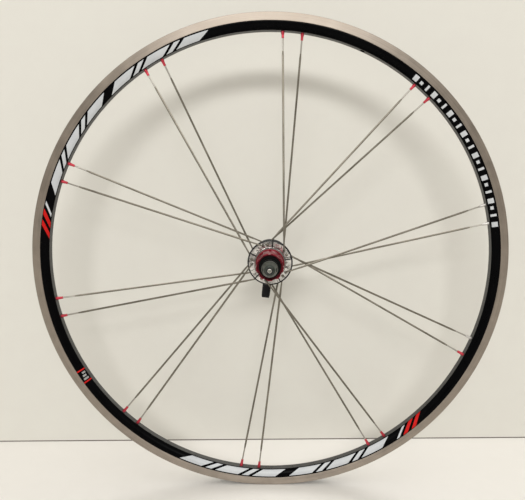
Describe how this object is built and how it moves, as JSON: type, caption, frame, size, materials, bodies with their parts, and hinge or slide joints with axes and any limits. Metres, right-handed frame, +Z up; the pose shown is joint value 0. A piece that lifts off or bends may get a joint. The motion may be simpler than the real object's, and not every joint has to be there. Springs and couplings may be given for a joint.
{
  "type": "bicycle rear wheel with quick release skewer",
  "caption": "Spoked 700C rim-brake rear wheel with paired bladed spokes, a splined bare freehub and a quick-release skewer with a cam lever.",
  "frame": {"origin": "wheel's centre: on the axle's line, on the rim's centre plane, midway between the two dropout faces", "axes": "+Y along the axle from the drive side to the lever side, +Z up, +X to the right as seen from the drive side; the wheel spins about Y"},
  "size_m": [0.633, 0.1849, 0.633],
  "materials": {
    "rim": "machined silver brake tracks with a black anodised band below each",
    "spokes": "drawn stainless steel",
    "nipples": "red anodised",
    "hub_shell": "machined flange faces, dark edges",
    "freehub": "red anodised",
    "bearings": "black rubber seals on steel rings",
    "ratchets": "hardened steel",
    "axle": "turned",
    "end_cap_drive": "turned, grey",
    "end_cap_nondrive": "black anodised",
    "skewer_steel": "turned steel",
    "skewer_nut": "grey anodised",
    "nut_insert": "black nylon",
    "springs": "spring wire",
    "clamp_cup": "plated, ribbed clamping face",
    "lever": "black anodised"
  },
  "bodies": {
    "axle_group": {"hub_axle": "axle", "end_cap_drive": "end_cap_drive", "end_cap_nondrive": "end_cap_nondrive", "qr_clamp_cup": "clamp_cup", "skewer_spring_nondrive": "springs"},
    "wheel": {"rim": "rim", "spoke_01": "spokes", "spoke_02": "spokes", "spoke_03": "spokes", "spoke_04": "spokes", "spoke_05": "spokes", "spoke_06": "spokes", "spoke_07": "spokes", "spoke_08": "spokes", "spoke_09": "spokes", "spoke_10": "spokes", "spoke_11": "spokes", "spoke_12": "spokes", "spoke_13": "spokes", "spoke_14": "spokes", "spoke_15": "spokes", "spoke_16": "spokes", "spoke_17": "spokes", "spoke_18": "spokes", "spoke_19": "spokes", "spoke_20": "spokes", "nipple_01": "nipples", "nipple_02": "nipples", "nipple_03": "nipples", "nipple_04": "nipples", "nipple_05": "nipples", "nipple_06": "nipples", "nipple_07": "nipples", "nipple_08": "nipples", "nipple_09": "nipples", "nipple_10": "nipples", "nipple_11": "nipples", "nipple_12": "nipples", "nipple_13": "nipples", "nipple_14": "nipples", "nipple_15": "nipples", "nipple_16": "nipples", "nipple_17": "nipples", "nipple_18": "nipples", "nipple_19": "nipples", "nipple_20": "nipples", "hub_shell": "hub_shell", "bearing_shell_left": "bearings", "bearing_shell_right": "bearings", "ratchet_shell": "ratchets"},
    "freehub": {"freehub_body": "freehub", "bearing_freehub_inner": "bearings", "bearing_freehub_outer": "bearings", "ratchet_freehub": "ratchets"},
    "skewer": {"skewer_rod": "skewer_steel", "qr_pin": "skewer_steel", "skewer_spring_drive": "springs"},
    "lever": {"qr_lever": "lever"},
    "nut_thread": {"nut_insert": "nut_insert"},
    "nut": {"skewer_nut": "skewer_nut"}
  },
  "joints": [
    {"name": "wheel_spin", "type": "hinge", "parent": "axle_group", "child": "wheel", "pos_m": [0, 0, 0], "axis": [0, 1, 0], "continuous": true},
    {"name": "freehub_spin", "type": "hinge", "parent": "axle_group", "child": "freehub", "pos_m": [0, -0.04, 0], "axis": [0, 1, 0], "continuous": true},
    {"name": "skewer_slide", "type": "slide", "parent": "axle_group", "child": "skewer", "axis": [0, -1, 0], "range_m": [0, 0.0016]},
    {"name": "lever_throw", "type": "hinge", "parent": "skewer", "child": "lever", "pos_m": [0, 0.0877, 0], "axis": [0.993, 0, -0.1184], "range_deg": [0, 180]},
    {"name": "nut_travel", "type": "slide", "parent": "skewer", "child": "nut_thread", "axis": [0, -1, 0], "range_m": [-0.0024, 0.0032], "deforming": ["skewer_spring_drive"]},
    {"name": "nut_turn", "type": "hinge", "parent": "nut_thread", "child": "nut", "pos_m": [0, -0.08, 0], "axis": [0, -1, 0], "range_deg": [-1080, 1440]}
  ],
  "couplings": [
    {"joint": "skewer_slide", "follows": "lever_throw", "m_per_rad": 0.000509},
    {"joint": "nut_travel", "follows": "nut_turn", "m_per_rad": 0.0001273}
  ]
}
